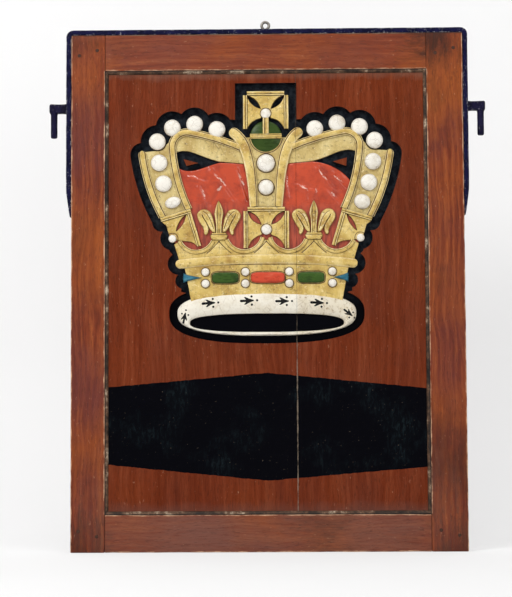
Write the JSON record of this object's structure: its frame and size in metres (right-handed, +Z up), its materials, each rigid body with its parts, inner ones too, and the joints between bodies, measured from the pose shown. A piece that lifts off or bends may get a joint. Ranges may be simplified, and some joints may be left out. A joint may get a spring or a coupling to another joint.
{
  "type": "tavern sign",
  "caption": "Framed wooden tavern sign: boarded panel with a carved, gilded crown in sunk relief, an iron strap over the top edge and pintle hooks that drop into wall sockets.",
  "frame": {"origin": "midway between the shoulders of the two pintles, where the hooks' arms rest on their sockets", "axes": "+X to the viewer's right along the frame, +Z up, -Y towards the viewer of the carved face"},
  "size_m": [0.776, 0.038, 0.941],
  "materials": {
    "stile_wood": "stained and worn, satin",
    "rail_wood": "stained and worn, satin",
    "peg_wood": "dark end grain, matte",
    "board_wood": "stained, black paint in the sunk ground and on the name band",
    "bead_wood": "stained, dirty, matte",
    "strap_iron": "wrought iron, black paint worn at the edges",
    "hook_iron": "forged iron, black paint",
    "screw_steel": "dull steel",
    "eye_steel": "dull steel",
    "cap_red": "red gloss paint on carved wood",
    "gilt": "worn gilding on carved wood, matte",
    "gilt_web": "worn gilding on carved wood, matte",
    "orb_green": "green gloss paint on carved wood",
    "ermine_white": "white paint on carved wood, crazed",
    "pearl_white": "white paint on turned wood, crazed",
    "jewel_green": "green gloss paint on carved wood",
    "jewel_red": "red gloss paint on carved wood",
    "jewel_blue": "blue gloss paint on carved wood"
  },
  "bodies": {
    "root": {"left_stile": "stile_wood", "right_stile": "stile_wood", "top_rail": "rail_wood", "bottom_rail": "rail_wood", "frame_pegs": "peg_wood", "left_board": "board_wood", "right_board": "board_wood", "bead_left": "bead_wood", "bead_right": "bead_wood", "bead_top": "bead_wood", "bead_bottom": "bead_wood", "hanger_strap": "strap_iron", "left_hook": "hook_iron", "right_hook": "hook_iron", "strap_screws": "screw_steel", "screw_eye": "eye_steel", "cap_left": "cap_red", "cap_right": "cap_red", "centre_bar_left": "gilt", "centre_bar_right": "gilt", "centre_bar_end": "gilt", "left_hoop": "gilt", "right_hoop": "gilt", "left_side_bar": "gilt", "right_side_bar": "gilt", "orb_band": "gilt", "top_cross": "gilt", "centre_cross": "gilt", "left_half_cross": "gilt", "right_half_cross": "gilt", "left_fleur": "gilt", "right_fleur": "gilt", "right_fleur_end": "gilt", "swag_rim_left": "gilt", "swag_rim_right": "gilt", "rib_left": "gilt", "rib_right": "gilt", "circlet_left": "gilt", "circlet_right": "gilt", "centre_web": "gilt_web", "left_hoop_web": "gilt_web", "right_hoop_web": "gilt_web", "left_arch_web": "gilt_web", "right_arch_web": "gilt_web", "orb": "orb_green", "ermine_left": "ermine_white", "ermine_right": "ermine_white", "left_arch_pearls": "pearl_white", "right_arch_pearls": "pearl_white", "centre_pearls": "pearl_white", "side_pearls": "pearl_white", "circlet_pearls": "pearl_white", "green_jewel_left": "jewel_green", "green_jewel_right": "jewel_green", "red_jewel": "jewel_red", "blue_jewels": "jewel_blue"}
  },
  "joints": []
}
